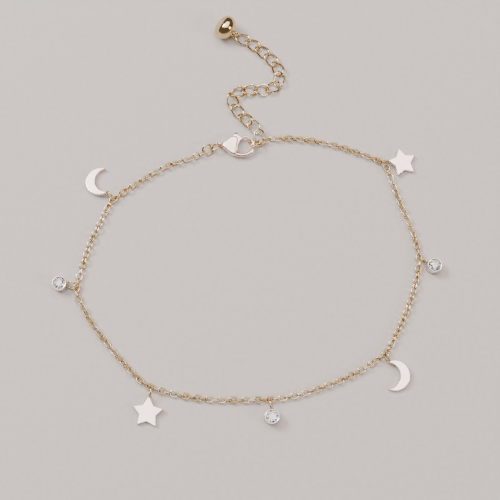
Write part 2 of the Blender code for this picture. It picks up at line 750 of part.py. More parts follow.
def extension_contacts():
    """From the end ring to the bead's loop, each as high as the links that meet there need."""
    start = ring_contact(END_RING_EXTENSION_ANGLE, EXTENSION_ROUTE[0], CLASP_HEIGHT, EXTENSION_PLAY)
    flat = [on_floor(point, start.z) for point in EXTENSION_ROUTE]
    contacts = equal_strides(smooth_path([start, *flat]), len(EXTENSION_ROLLS))
    pitch = (contacts[1] - contacts[0]).length
    heights = [extension_height(extension_link(pitch, i), roll) for i, roll in enumerate(EXTENSION_ROLLS)]
    levels = [start.z, *[max(pair) for pair in zip(heights, heights[1:])], heights[-1]]
    levels[1] = 2 * heights[0] - start.z + FIRST_LINK_RISE
    overhang = (EXTENSION_WIRE + EXTENSION_PLAY / 2) / (contacts[1] - contacts[0]).length
    for i in range(1, len(contacts)):
        slopes = [level - levels[i] for level in levels[max(i - 1, 1):i + 2]]
        contacts[i].z = levels[i] + max(slopes) * overhang
    return contacts


def make_extension():
    contacts = extension_contacts()
    spans = [(b - a).length for a, b in zip(contacts, contacts[1:])]
    pitch = sum(spans) / len(spans)
    for i, roll in enumerate(EXTENSION_ROLLS):
        place = frame_between(contacts[i], contacts[i + 1], roll)
        name = f"extension_link_{i + 1:02d}"
        add(name, extension_link(pitch, i), gold_wire(name), place)


def bead_rise(body, height, inside):
    """How far the bead's axis rises from its loop for its side to meet the floor."""
    low, high = 0.0, 0.8
    for _ in range(30):
        rise = (low + high) / 2
        lowest = min((v.co.z - inside) * math.sin(rise) + v.co.x * math.cos(rise) for v in body.vertices)
        if lowest < -height:
            low = rise
        else:
            high = rise
    return high


def make_bead():
    """Lies on its side at the end of the extension, its neck and loop towards the chain."""
    contacts = extension_contacts()
    away = contacts[-1] - contacts[-2]
    yaw = math.atan2(away.y, away.x)
    neck = NECK_DIAMETER / 2
    domed = [(r * BEAD_DIAMETER / 2, h * BEAD_LENGTH) for r, h in BEAD_FORM]
    body = turned([(0, 0), (neck, 0), *domed, (0, BEAD_LENGTH)], 24)
    loop_reach = (BEAD_LOOP - BEAD_LOOP_WIRE) / 2
    loop = placed(ring(BEAD_LOOP, BEAD_LOOP_WIRE, 14), Matrix.Rotation(math.pi / 2, 4, "Y"))
    loop = placed(loop, Matrix.Rotation(math.radians(-EXTENSION_ROLLS[-1] - EXTENSION_TWIST), 4, "Z"))
    loop = placed(loop, Matrix.Translation((0, 0, -loop_reach)))
    body = joined(body, [loop])
    inside = -loop_reach * 2 + BEAD_LOOP_WIRE / 2 + EXTENSION_PLAY / 2
    place = (
        Matrix.Translation(contacts[-1])
        @ Matrix.Rotation(yaw, 4, "Z")
        @ Matrix.Rotation(math.pi / 2 - bead_rise(body, contacts[-1].z, inside), 4, "Y")
        @ Matrix.Translation((0, 0, -inside))
    )
    add("end_bead", body, polished_steel("end_bead"), place)


def main():
    clear_scene()
    make_main_chain()
    make_charms()
    make_clasp_rings()
    make_clasp()
    make_lever()
    make_end_ring()
    make_extension()
    make_bead()


main()
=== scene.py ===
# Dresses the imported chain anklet: real chain links, polished finishes, pale floor and soft light.
# Metres, +Z up. Every piece takes its place from the CAD node that it stands for.
import json
import math

import bmesh
import bpy
import numpy as np
from mathutils import Matrix, Vector


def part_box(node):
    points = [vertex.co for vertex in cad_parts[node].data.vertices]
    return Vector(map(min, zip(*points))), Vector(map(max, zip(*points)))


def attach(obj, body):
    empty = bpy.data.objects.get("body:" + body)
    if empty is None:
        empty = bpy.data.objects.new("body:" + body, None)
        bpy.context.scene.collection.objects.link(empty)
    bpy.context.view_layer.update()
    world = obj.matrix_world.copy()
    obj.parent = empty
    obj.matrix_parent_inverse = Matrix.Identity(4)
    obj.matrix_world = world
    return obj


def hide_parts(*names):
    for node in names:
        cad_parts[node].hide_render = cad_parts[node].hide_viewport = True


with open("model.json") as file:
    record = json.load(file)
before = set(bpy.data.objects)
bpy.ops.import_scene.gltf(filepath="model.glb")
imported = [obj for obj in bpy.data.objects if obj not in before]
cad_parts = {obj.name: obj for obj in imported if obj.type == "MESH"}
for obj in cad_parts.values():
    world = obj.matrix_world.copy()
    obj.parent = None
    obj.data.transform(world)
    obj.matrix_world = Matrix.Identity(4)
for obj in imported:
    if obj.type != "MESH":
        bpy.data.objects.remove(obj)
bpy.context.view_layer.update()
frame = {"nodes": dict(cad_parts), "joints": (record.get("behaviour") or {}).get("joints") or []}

# Small helpers: colours, nodes, meshes


def linear(hexCode):
    parts = [int(hexCode[i:i + 2], 16) / 255 for i in (1, 3, 5)]
    return [c / 12.92 if c <= 0.04045 else ((c + 0.055) / 1.055) ** 2.4 for c in parts] + [1.0]


def addNode(tree, kind, inputs=None, **settings):
    node = tree.nodes.new(kind)
    for name, value in settings.items():
        setattr(node, name, value)
    for socket, value in (inputs or {}).items():
        if isinstance(value, bpy.types.NodeSocket):
            tree.links.new(value, node.inputs[socket])
        else:
            node.inputs[socket].default_value = value
    return node


def meshFrom(name, corners, faces):
    mesh = bpy.data.meshes.new(name)
    mesh.from_pydata([tuple(c) for c in corners], [], faces)
    mesh.update()
    mesh.shade_smooth()
    return mesh


def asObject(name, mesh):
    made = bpy.data.objects.new(name, mesh)
    bpy.context.scene.collection.objects.link(made)
    return made


def evaluated(made):
    # The object's mesh after its modifiers; the object itself goes
    depsgraph = bpy.context.evaluated_depsgraph_get()
    mesh = bpy.data.meshes.new_from_object(made.evaluated_get(depsgraph), depsgraph=depsgraph)
    bpy.data.objects.remove(made, do_unlink=True)
    return mesh


def dressed(name, mesh, finish, body, nodes=()):
    # A finished piece: at the origin, riding on its body, standing for its CAD nodes
    made = asObject(name, mesh)
    mesh.materials.clear()
    mesh.materials.append(finish)
    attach(made, body)
    if nodes:
        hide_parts(*nodes)
    return made


def placed(mesh, place):
    mesh.transform(place)
    return mesh


def frameMatrix(origin, x, z):
    # X kept, Z squared up to it
    x = Vector(x).normalized()
    y = Vector(z).cross(x).normalized()
    turn = Matrix((x, y, x.cross(y))).transposed().to_4x4()
    return Matrix.Translation(Vector(origin)) @ turn


# Shapes


def sweepWire(points, radii, sides, closed, turns=None):
    # Round wire along points near the XY plane, with a radius for each; turns gives how far the
    # wire's own flat side is turned about X at each point
    points, radii = np.array([(*p, 0.0)[:3] for p in points], float), np.array(radii, float)
    turns = np.zeros(len(points)) if turns is None else np.array(turns)
    ahead, behind = np.roll(points, -1, 0), np.roll(points, 1, 0)
    if not closed:
        ahead[-1], behind[0] = points[-1], points[0]
    along = ahead - behind
    along /= np.linalg.norm(along, axis=1)[:, None]
    upward = np.c_[np.zeros(len(points)), -np.sin(turns), np.cos(turns)]
    side = np.cross(upward, along)
    side /= np.linalg.norm(side, axis=1)[:, None]
    upward = np.cross(along, side)
    angles = 2 * np.pi * np.arange(sides) / sides
    rim = np.einsum("j,ik->ijk", np.cos(angles), side) + np.einsum("j,ik->ijk", np.sin(angles), upward)
    corners = points[:, None, :] + radii[:, None, None] * rim
    rows = len(points) if closed else len(points) - 1
    faces = []
    for i in range(rows):
        here, there = i * sides, (i + 1) % len(points) * sides
        for j in range(sides):
            k = (j + 1) % sides
            faces.append((here + j, here + k, there + k, there + j))
    if not closed:
        last = (len(points) - 1) * sides
        faces.append(tuple(reversed(range(sides))))
        faces.append(tuple(range(last, last + sides)))
    return meshFrom("wire", corners.reshape(-1, 3), faces)


def roundEnds(points, radii, steps=5):
    # Adds a half ball to both ends of an open wire
    points, radii = [np.array(p, float) for p in points], list(radii)
    for _ in range(2):
        away = points[0] - points[1]
        away /= np.linalg.norm(away)
        end, radius = points[0], radii[0]
        for step in range(1, steps + 1):
            angle = math.pi / 2 * step / steps * 0.97
            points.insert(0, end + away * radius * math.sin(angle))
            radii.insert(0, radius * math.cos(angle))
        points.reverse()
        radii.reverse()
    return points, radii


def ovalPoints(reach, radius, steps, between):
    # Two half circles at this reach from the middle, with points between them on the straight sides
    straight = reach - radius
    points = []
    for side in (1, -1):
        for step in range(steps + 1):
            angle = math.pi * step / steps - math.pi / 2
            points.append((side * (straight + radius * math.cos(angle)), side * radius * math.sin(angle)))
        for step in range(1, between + 1):
            points.append((side * straight * (1 - 2 * step / (between + 1)), side * radius))
    return points


def ovalLink(length, form):
    # The form's twist, in degrees, turns the ends of the link opposite ways, as in a curb chain
    wire, twist = form["wire"], math.radians(form["twist"])
    reach, radius = (length - wire) / 2, (form["width"] - wire) / 2
    points = ovalPoints(reach, radius, form["steps"], form["between"])
    turns = [twist * x / reach for x, y in points]
    points = [(x, y * math.cos(turn), y * math.sin(turn)) for (x, y), turn in zip(points, turns)]
    return sweepWire(points, [wire / 2] * len(points), form["sides"], True, turns)


def roundRing(outer, wire, steps=48, sides=16, seam=0.0):
    # A seam above 0 leaves the ring cut there, as a jump ring is
    radius = (outer - wire) / 2
    gap = seam / radius
    count = steps + 1 if seam else steps
    angles = [gap / 2 + (2 * math.pi - gap) * i / steps for i in range(count)]
    points = [(radius * math.cos(a), radius * math.sin(a)) for a in angles]
    return sweepWire(points, [wire / 2] * count, sides, not seam)


def turned(profile, sides=48):
    # (radius, height) pairs from the foot up, turned about Z; a radius of 0 is a pole
    corners, rings = [], []
    for radius, height in profile:
        start = len(corners)
        count = 1 if radius == 0 else sides
        for i in range(count):
            angle = 2 * math.pi * i / sides
            corners.append((radius * math.cos(angle), radius * math.sin(angle), height))
        rings.append([start + i % count for i in range(sides)])
    faces = []
    for low, high in zip(rings, rings[1:]):
        for i in range(sides):
            j = (i + 1) % sides
            faces.append(tuple(dict.fromkeys((low[i], low[j], high[j], high[i]))))
    return meshFrom("turned", corners, faces)


def smoothProfile(points, steps):
    # Catmull-Rom through given points, any number of columns
    points = [np.array(p, float) for p in points]
    ends = [2 * points[0] - points[1], *points, 2 * points[-1] - points[-2]]
    found = []
    for a, b, c, d in zip(ends, ends[1:], ends[2:], ends[3:]):
        for step in range(steps):
            t = step / steps
            found.append(0.5 * (2 * b + (c - a) * t + (2 * a - 5 * b + 4 * c - d) * t ** 2
                                + (3 * b - a - 3 * c + d) * t ** 3))
    found.append(points[-1])
    return found


def stacked(rings):
    # Closed skin through rings of equally many points, with a flat face at both ends
    count = len(rings[0])
    corners = [corner for ring in rings for corner in ring]
    faces = [tuple(reversed(range(count))), tuple(range(len(corners) - count, len(corners)))]
    for k in range(len(rings) - 1):
        for i in range(count):
            j = (i + 1) % count
            faces.append((k * count + i, k * count + j, (k + 1) * count + j, (k + 1) * count + i))
    mesh = meshFrom("stacked", corners, faces)
    mesh.set_sharp_from_angle(angle=math.radians(50))
    return mesh


def slab(outline, thickness):
    return stacked([[(x, y, z) for x, y in outline] for z in (-thickness / 2, thickness / 2)])


def plateOf(outlineAt, thickness, edge, steps=4):
    # Flat plate with rounded edges; outlineAt gives its outline drawn in by a distance.
    # The last ring lies in the flat face, so that the face shades as one mirror
    half = thickness / 2
    rows = [(edge * 1.3, half)]
    for step in range(steps + 1):
        angle = math.pi / 2 * (1 - step / steps)
        rows.append((edge * (1 - math.cos(angle)), half - edge * (1 - math.sin(angle))))
    rows = [(inset, -height) for inset, height in rows] + [*reversed(rows)]
    return stacked([[(x, y, height) for x, y in outlineAt(inset)] for inset, height in rows])


def drawnIn(points, distance):
    # An outline moved inwards, corners kept
    found = []
    for i in range(len(points)):
        before, here, after = (np.array(points[k % len(points)]) for k in (i - 1, i, i + 1))
        a, b = here - before, after - here
        a, b = (np.array((-v[1], v[0])) / np.linalg.norm(v) for v in (a, b))
        found.append(tuple(here + (a + b) / (1 + a @ b) * distance))
    return found


def combined(base, tools, operation):
    made = asObject("base", base)
    others = [asObject("tool", tool) for tool in tools]
    for other in others:
        cut = made.modifiers.new("cut", "BOOLEAN")
        cut.operation, cut.solver, cut.object = operation, "EXACT", other
    mesh = evaluated(made)
    for other in others:
        bpy.data.objects.remove(other, do_unlink=True)
    return mesh


# Reading places from the CAD nodes


def nodeTriangles(node):
    mesh = frame["nodes"][node].data
    mesh.calc_loop_triangles()
    corners = np.array([v.co for v in mesh.vertices])
    return corners[np.array([t.vertices for t in mesh.loop_triangles])]


def areasOf(triangles):
    crossed = np.cross(triangles[:, 1] - triangles[:, 0], triangles[:, 2] - triangles[:, 0])
    size = np.linalg.norm(crossed, axis=1)
    return size / 2, crossed / np.maximum(size, 1e-20)[:, None]


def surfaceAxes(node):
    # Centre of the node's skin and its longest, middle and thinnest directions
    triangles = nodeTriangles(node)
    area, _ = areasOf(triangles)
    centre = (area[:, None] * triangles.mean(1)).sum(0) / area.sum()
    local = triangles - centre
    middle = local.mean(1)
    spread = np.einsum("n,nki,nkj->ij", area, local, local)
    spread += 9 * np.einsum("n,ni,nj->ij", area, middle, middle)
    _, axes = np.linalg.eigh(spread)
    return centre, axes.T[::-1]


def reach(node, direction):
    along = nodeTriangles(node).reshape(-1, 3) @ direction
    return along.max() - along.min()


def rollOf(normal, along):
    # How far a link is turned about its own length, from lying flat
    along = np.array(along) / np.linalg.norm(along)
    left = np.array([-along[1], along[0], 0])
    left /= np.linalg.norm(left)
    return math.atan2(-normal @ left, normal @ np.cross(along, left))


def topPlane(node):
    # The node's largest upward flat face: its triangles and its normal
    triangles = nodeTriangles(node)
    area, normal = areasOf(triangles)
    best = np.argmax(np.where(normal[:, 2] > 0.9, area, 0))
    height = (triangles.mean(1) - triangles[best].mean(0)) @ normal[best]
    chosen = (normal @ normal[best] > 0.9999) & (abs(height) < 2e-5)
    return triangles[chosen], area[chosen], normal[best]


def ringPlace(points):
    # Middle and axis of a round ring from points of its skin
    centre = points.mean(0)
    _, _, axes = np.linalg.svd(points - centre, full_matrices=False)
    flat = (points - centre) @ axes[:2].T
    rows = np.c_[2 * flat, np.ones(len(flat))]
    middle = np.linalg.lstsq(rows, (flat ** 2).sum(1), rcond=None)[0][:2]
    return frameMatrix(centre + middle @ axes[:2], axes[0], axes[2])


# Finishes

# Sizes and depths of the patterns in metres, and how strongly the drawn wire's marks show
grain = {
    "tumble": 0.00035, "tone": 0.0014, "drawn": 0.00012, "drawnDepth": 0.00001, "drawnStrength": 0.25,
    # the stones' key sizes their patches of painted fire and shade
    "wave": 0.0016, "waveDepth": 0.00002, "scratch": 0.00015, "paintedFireAndShade": 0.0009, "fibre": 0.0012,
}


def patternTree(name):
    made = bpy.data.materials.new(name)
    made.use_nodes = True
    tree = made.node_tree
    return made, tree, tree.nodes["Principled BSDF"], addNode(tree, "ShaderNodeTexCoord").outputs["Object"]


def noiseAt(tree, coords, size, detail=3.0, stretch=(1, 1, 1)):
    # Noise with features of a real size in metres, longer where stretch is small
    scaled = addNode(tree, "ShaderNodeMapping", {"Vector": coords, "Scale": stretch})
    return addNode(tree, "ShaderNodeTexNoise",
                   {"Vector": scaled.outputs[0], "Scale": 1 / size, "Detail": detail}).outputs["Fac"]


def ranged(tree, value, low, high, fromLow=0.3, fromHigh=0.7):
    limits = {"From Min": fromLow, "From Max": fromHigh, "To Min": low, "To Max": high}
    return addNode(tree, "ShaderNodeMapRange", {"Value": value, **limits}).outputs[0]


def coloured(tree, shader, share, tones):
    # The tones, evenly spread over the share from 0 to 1, as the base colour
    ramp = addNode(tree, "ShaderNodeValToRGB", {"Fac": share})
    ends = ramp.color_ramp.elements
    ends[0].color, ends[1].color = linear(tones[0]), linear(tones[-1])
    for i in range(1, len(tones) - 1):
        ends.new(i / (len(tones) - 1)).color = linear(tones[i])
    tree.links.new(ramp.outputs["Color"], shader.inputs["Base Color"])


def bumped(tree, shader, height, strength, distance):
    bump = addNode(tree, "ShaderNodeBump", {"Height": height, "Strength": strength, "Distance": distance})
    tree.links.new(bump.outputs[0], shader.inputs["Normal"])


def goldWire(name, tones, roughness):
    # Drawn stainless wire, gold plated and tumbled: a warm metal whose shine breaks up along each
    # link, with links a little pinker or yellower than their neighbours (the tones, dark to light)
    made, tree, shader, coords = patternTree(name)
    tone = addNode(tree, "ShaderNodeAttribute", attribute_name="linkTone").outputs["Fac"]
    patches = noiseAt(tree, coords, grain["tone"])
    mixed = addNode(tree, "ShaderNodeMath", {0: tone, 1: patches}, operation="ADD")
    coloured(tree, shader, ranged(tree, mixed.outputs[0], 0, 1, 0.3, 1.6), tones)
    rough = ranged(tree, noiseAt(tree, coords, grain["tumble"]), *roughness)
    tree.links.new(rough, shader.inputs["Roughness"])
    bumped(tree, shader, noiseAt(tree, coords, grain["drawn"]), grain["drawnStrength"], grain["drawnDepth"])
    shader.inputs["Metallic"].default_value = 1.0
    return made


def mirrorPlate(name, tones, roughness, wave):
    # Stamped or cast steel, rose plated and buffed: a near mirror with a faint swell left by the
    # buffing wheel and hairline wear that only shows as slightly softer streaks
    made, tree, shader, coords = patternTree(name)
    patches = noiseAt(tree, coords, grain["wave"])
    coloured(tree, shader, ranged(tree, patches, 0, 1), tones)
    hair = noiseAt(tree, coords, grain["scratch"], 2.0, (1, 0.35, 1))
    tree.links.new(ranged(tree, hair, *roughness, 0.4, 0.7), shader.inputs["Roughness"])
    bumped(tree, shader, patches, wave, grain["waveDepth"])
    shader.inputs["Metallic"].default_value = 1.0
    return made


def cutStone(name, tones):
    # Cubic zirconia, cut and polished: clear, strongly bending glass with crisp facets. Its base
    # colour is painted light: cool grey-blue and warm grey patches stand in for fire and facet shade
    made, tree, shader, coords = patternTree(name)
    # Painted fire and shade: noise patches between the tones grey and tint the clear stone in place of
    # light
    coloured(tree, shader, ranged(tree, noiseAt(tree, coords, grain["paintedFireAndShade"], 1.0), 0, 1), tones)
    shader.inputs["Roughness"].default_value = 0.0
    shader.inputs["IOR"].default_value = 2.17
    shader.inputs["Transmission Weight"].default_value = 1.0
    return made


def mattFloor(name, tones):
    # Heavy matt paper: a pale even ground with only a trace of fibre
    made, tree, shader, coords = patternTree(name)
    coloured(tree, shader, ranged(tree, noiseAt(tree, coords, grain["fibre"]), 0, 1), tones)
    shader.inputs["Roughness"].default_value = 0.85
    shader.inputs["Specular IOR Level"].default_value = 0.25
    return made


chainGold = goldWire("tumbledGoldPlatedWire", ("#B39152", "#D3B67C", "#F0E0C2"), (0.12, 0.24))
linkGold = goldWire("brightGoldPlatedLinks", ("#B99757", "#D9BD83", "#F3E4C9"), (0.08, 0.16))
ringGold = goldWire("goldPlatedJumpRing", ("#D0B47E", "#E2CA9C", "#F5E8D0"), (0.08, 0.16))
rosePlate = mirrorPlate("buffedRosePlatedSteel", ("#F4DDD4", "#F8E7E1"), (0.12, 0.16), 0.08)
castPolish = mirrorPlate("barrelPolishedRosePlatedCasting", ("#EBCDBB", "#F6E2D8"), (0.07, 0.15), 0.35)
bezelPolish = mirrorPlate("polishedBezelMetal", ("#DACFC4", "#EFE8E1"), (0.07, 0.14), 0.20)
beadPolish = mirrorPlate("polishedGoldPlatedBead", ("#D2B478", "#E6CFA0"), (0.04, 0.09), 0.15)
# Grey-blue to warm grey: painted fire and painted facet shade on a clear stone
zirconia = cutStone("cutCubicZirconia", ("#929CAC", "#D2CCC2"))
mattPaper = mattFloor("pressedMattPaper", ("#BDB7B3", "#C3BDB9"))
print("finishes made")

# The fine chain's line: the source's route, smoothed in the same way

# A link's form: steps round each half circle, sides of its wire, points between the half circles
# and twist in degrees. A strand takes settle links at its ends to turn into its lean, and each
# link strays from its place by up to wobble degrees. Probes look for a charm's place on the line
fineChain = {
    "wire": 0.00036, "width": 0.00165, "pitch": 0.00138, "play": 0.00010, "height": 0.000825,
    "steps": 6, "sides": 6, "between": 0, "twist": 0.0, "wobble": 7.0, "settle": 5,
    "smoothing": 12, "probes": 277, "firstSeed": 10,
}
layoutShift = (-0.00023, -0.00065)
chainRoute = [
    (-0.01287, 0.01442), (-0.01597, 0.01343), (-0.01878, 0.01244), (-0.02190, 0.01077),
    (-0.02472, 0.00896), (-0.02804, 0.00663), (-0.03110, 0.00426), (-0.03228, 0.00336),
    (-0.03335, 0.00088), (-0.03496, -0.00279), (-0.03656, -0.00646), (-0.03772, -0.01022),
    (-0.03865, -0.01383), (-0.03941, -0.01765), (-0.03909, -0.01978), (-0.03764, -0.02249),
    (-0.03563, -0.02589), (-0.03276, -0.02966), (-0.02928, -0.03377), (-0.02552, -0.03772),
    (-0.02274, -0.04011), (-0.01954, -0.04140), (-0.01500, -0.04248), (-0.01037, -0.04322),
    (-0.00560, -0.04356), (-0.00033, -0.04354), (0.00520, -0.04343), (0.00983, -0.04282),
    (0.01459, -0.04151), (0.01982, -0.03970), (0.02486, -0.03741), (0.02926, -0.03473),
    (0.03192, -0.03271), (0.03365, -0.02980), (0.03577, -0.02573), (0.03764, -0.02143),
    (0.03919, -0.01693), (0.04002, -0.01311), (0.04036, -0.01058), (0.03975, -0.00670),
    (0.03829, -0.00193), (0.03670, 0.00207), (0.03507, 0.00688), (0.03379, 0.01115),
    (0.03278, 0.01300), (0.03101, 0.01397), (0.02864, 0.01488), (0.02507, 0.01626),
    (0.02125, 0.01754), (0.01658, 0.01859), (0.01213, 0.01923), (0.00815, 0.01933),
    (0.00500, 0.01900),
]
# How each strand lies between its ends, in degrees: 0 is flat and upright in turn, 45 both slanted
strandLean = [14, 45, 42, 12, 0, 24, 44, 6]
charmLinks = [f"charm_link_{i}" for i in range(1, 8)]

endRing = {"outer": 0.0034, "wire": 0.00050, "seam": 0.00005, "chainAngle": 9.5, "room": 0.00010}
claspRing = {"outer": 0.0030, "wire": 0.00045, "seam": 0.00005}


def endRingContact():
    centre, axes = surfaceAxes("end_ring")
    normal = axes[2] * np.sign(axes[2][2])
    across = np.cross(normal, (0, 0, 1))
    across /= np.linalg.norm(across)
    onward = np.cross(normal, across)
    radius, angle = (endRing["outer"] - endRing["wire"]) / 2, math.radians(endRing["chainAngle"])
    middle = centre + radius * (math.cos(angle) * across + math.sin(angle) * onward)
    away = onFloor(chainRoute[-1]) - middle
    away /= np.linalg.norm(away)
    return middle - away * (endRing["wire"] / 2 + fineChain["play"] / 2 + endRing["room"]), normal


def onFloor(point):
    return np.array([point[0] + layoutShift[0], point[1] + layoutShift[1], fineChain["height"]])


def chainLine():
    first, second = surfaceAxes("clasp_ring_1")[0], surfaceAxes("clasp_ring_2")[0]
    start = second + (second - first) / 2
    route = [start, *[onFloor(p) for p in chainRoute], endRingContact()[0]]
    path = np.array(smoothProfile(route, fineChain["smoothing"]))
    lengths = np.r_[0, np.cumsum(np.linalg.norm(np.diff(path, axis=0), axis=1))]
    return path, lengths


def pointOn(line, distance):
    path, lengths = line
    return np.array([np.interp(distance, lengths, path[:, k]) for k in range(3)])


def strandEnds(line):
    # Where each strand starts and ends along the line, either side of the charms' links
    path, lengths = line
    starts, ends = [0.0], []
    for node in charmLinks:
        centre, axes = surfaceAxes(node)
        here = lengths[np.argmin(np.linalg.norm(path - centre, axis=1))]
        nearby = np.linspace(here - fineChain["pitch"], here + fineChain["pitch"], fineChain["probes"])
        here = nearby[np.argmin([np.linalg.norm(pointOn(line, d) - centre) for d in nearby])]
        half = (reach(node, axes[0]) - 2 * fineChain["wire"] - fineChain["play"]) / 2
        ends.append(here - half)
        starts.append(here + half)
    return list(zip(starts, [*ends, lengths[-1]]))


def nearest(angle, target, period):
    return angle + period * round((target - angle) / period)


def strandRolls(count, first, last, lean):
    # Neighbours cross at right angles; the whole row twists from its ends into its own lean
    quarter = math.pi / 2
    lean = nearest(lean, first, quarter)
    last = nearest(last - quarter * ((count - 1) % 2), lean, math.pi)
    rolls = []
    for k in range(count):
        fromStart = min(1.0, k / fineChain["settle"])
        fromEnd = min(1.0, (count - 1 - k) / fineChain["settle"])
        base = lean + (first - lean) * (1 - fromStart) ** 2 + (last - lean) * (1 - fromEnd) ** 2
        rolls.append(base + quarter * (k % 2))
    return rolls


# Geometry Nodes: one link on every point, turned by the point's own direction and roll


def numberFrom(node):
    # The socket that carries a number, of a node that has one for each type
    return next(s for s in node.outputs if s.enabled and s.type == "VALUE")


def linkTree():
    tree = bpy.data.node_groups.new("linksOnPoints", "GeometryNodeTree")
    kinds = {"Points": "Geometry", "Link": "Object", "Finish": "Material", "Wobble": "Float", "Seed": "Int"}
    for name, kind in kinds.items():
        tree.interface.new_socket(name=name, in_out="INPUT", socket_type="NodeSocket" + kind)
    tree.interface.new_socket(name="Links", in_out="OUTPUT", socket_type="NodeSocketGeometry")
    given = addNode(tree, "NodeGroupInput").outputs
    along = addNode(tree, "GeometryNodeInputNamedAttribute", {"Name": "along"}, data_type="FLOAT_VECTOR")
    roll = addNode(tree, "GeometryNodeInputNamedAttribute", {"Name": "roll"}, data_type="FLOAT")
    pointing = addNode(tree, "FunctionNodeAlignRotationToVector", {"Vector": along.outputs[0]}, axis="X")
    level = addNode(tree, "FunctionNodeAlignRotationToVector", {
        "Rotation": pointing.outputs[0], "Vector": (0, 0, 1)}, axis="Z", pivot_axis="X")
    least = addNode(tree, "ShaderNodeMath", {0: given["Wobble"], 1: -1.0}, operation="MULTIPLY")
    wobble = addNode(tree, "FunctionNodeRandomValue", {
        "Min": least.outputs[0], "Max": given["Wobble"], "Seed": given["Seed"]}, data_type="FLOAT")
    angle = addNode(tree, "ShaderNodeMath", {0: roll.outputs[0], 1: numberFrom(wobble)}, operation="ADD")
    turn = addNode(tree, "FunctionNodeAxisAngleToRotation", {"Axis": (1, 0, 0), "Angle": angle.outputs[0]})
    rotation = addNode(tree, "FunctionNodeRotateRotation", {
        "Rotation": level.outputs[0], "Rotate By": turn.outputs[0]}, rotation_space="LOCAL")
    link = addNode(tree, "GeometryNodeObjectInfo", {"Object": given["Link"]})
    links = addNode(tree, "GeometryNodeInstanceOnPoints", {
        "Points": given["Points"], "Instance": link.outputs["Geometry"], "Rotation": rotation.outputs[0]})
    tone = addNode(tree, "FunctionNodeRandomValue", {"Seed": given["Seed"]}, data_type="FLOAT")
    toned = addNode(tree, "GeometryNodeStoreNamedAttribute", {
        "Geometry": links.outputs[0], "Name": "linkTone", "Value": numberFrom(tone)},
        data_type="FLOAT", domain="INSTANCE")
    real = addNode(tree, "GeometryNodeRealizeInstances", {"Geometry": toned.outputs[0]})
    done = addNode(tree, "GeometryNodeSetMaterial", {
        "Geometry": real.outputs[0], "Material": given["Finish"]})
    addNode(tree, "NodeGroupOutput", {"Links": done.outputs[0]})
    return tree


linksOnPoints = linkTree()


def linkRow(name, places, link, finish, wobble, seed):
    # places: centre, direction and roll of every link
    points = bpy.data.meshes.new("points")
    points.from_pydata([tuple(p[0]) for p in places], [], [])
    points.attributes.new("along", "FLOAT_VECTOR", "POINT").data.foreach_set(
        "vector", np.concatenate([p[1] for p in places]).astype(np.float32))
    points.attributes.new("roll", "FLOAT", "POINT").data.foreach_set(
        "value", np.array([p[2] for p in places], np.float32))
    row, shape = asObject(name, points), asObject("link", link)
    nodes = row.modifiers.new("links", "NODES")
    nodes.node_group = linksOnPoints
    sockets = {s.name: s.identifier for s in linksOnPoints.interface.items_tree if s.in_out == "INPUT"}
    given = {"Link": shape, "Finish": finish, "Wobble": math.radians(wobble), "Seed": seed}
    for socket, value in given.items():
        nodes[sockets[socket]] = value
    mesh = evaluated(row)
    bpy.data.objects.remove(shape, do_unlink=True)
    return mesh


def makeFineChain():
    line = chainLine()
    spans = strandEnds(line)
    alongs = [surfaceAxes(node)[1] for node in charmLinks]
    ringAxis = surfaceAxes("clasp_ring_2")[1][2]
    startWay = pointOn(line, fineChain["pitch"]) - pointOn(line, 0)
    endWay = pointOn(line, line[1][-1]) - pointOn(line, line[1][-1] - fineChain["pitch"])
    rolls = [rollOf(ringAxis, startWay)]
    for (start, _), axes in zip(spans[1:], alongs):
        way = pointOn(line, start + fineChain["pitch"]) - pointOn(line, start)
        rolls.append(rollOf(axes[2], axes[0] * np.sign(axes[0] @ way)))
    rolls.append(rollOf(endRingContact()[1], endWay))
    length = fineChain["pitch"] + 2 * fineChain["wire"] + fineChain["play"]
    total = 0
    for i, (start, end) in enumerate(spans):
        count = round((end - start) / fineChain["pitch"])
        stops = [pointOn(line, start + (end - start) * k / count) for k in range(count + 1)]
        first, last = rolls[i] + math.pi / 2, rolls[i + 1] + math.pi / 2
        turns = strandRolls(count, first, last, math.radians(strandLean[i]))
        places = [((a + b) / 2, b - a, roll) for a, b, roll in zip(stops, stops[1:], turns)]
        link = ovalLink(length, fineChain)
        seed = fineChain["firstSeed"] + i
        mesh = linkRow(f"strand{i + 1}", places, link, chainGold, fineChain["wobble"], seed)
        dressed(f"fineChainStrand{i + 1}", mesh, chainGold, "anklet", [f"chain_strand_{i + 1}"])
        total += count
    print("fine chain:", total, "links")


# The charms' own links and the extension chain, each link where its CAD node lies

charmLink = {**fineChain, "steps": 10, "sides": 10}
# The extension's first link is flat, the others are twisted so that they all lie alike
flatLink = {"wire": 0.00048, "width": 0.0030, "steps": 14, "sides": 12, "between": 0, "twist": 0.0}
curbLink = {**flatLink, "between": 3, "twist": 45.0}
extensionNodes = [f"extension_link_{i:02d}" for i in range(1, 16)]


def nodeLinks(name, nodes, form, finish, seed):
    places = []
    for node in nodes:
        centre, axes = surfaceAxes(node)
        places.append((centre, axes[0], rollOf(axes[2], axes[0])))
    length = np.mean([reach(node, surfaceAxes(node)[1][0]) for node in nodes])
    mesh = linkRow(name, places, ovalLink(length, form), finish, 0.0, seed)
    dressed(name, mesh, finish, "anklet", nodes)
    print(name, len(nodes), "links of", round(length * 1000, 2), "mm")


def makeRings():
    for node, sizes in (("clasp_ring_1", claspRing), ("clasp_ring_2", claspRing), ("end_ring", endRing)):
        centre, axes = surfaceAxes(node)
        mesh = roundRing(sizes["outer"], sizes["wire"], seam=sizes["seam"])
        mesh.set_sharp_from_angle(angle=math.radians(60))
        placed(mesh, frameMatrix(centre, axes[0], axes[2]))
        dressed(node.replace("_", "") + "Wire", mesh, ringGold, "anklet", [node])
    print("jump rings made")


# Stars and moons: a stamped plate with a ring soldered to it

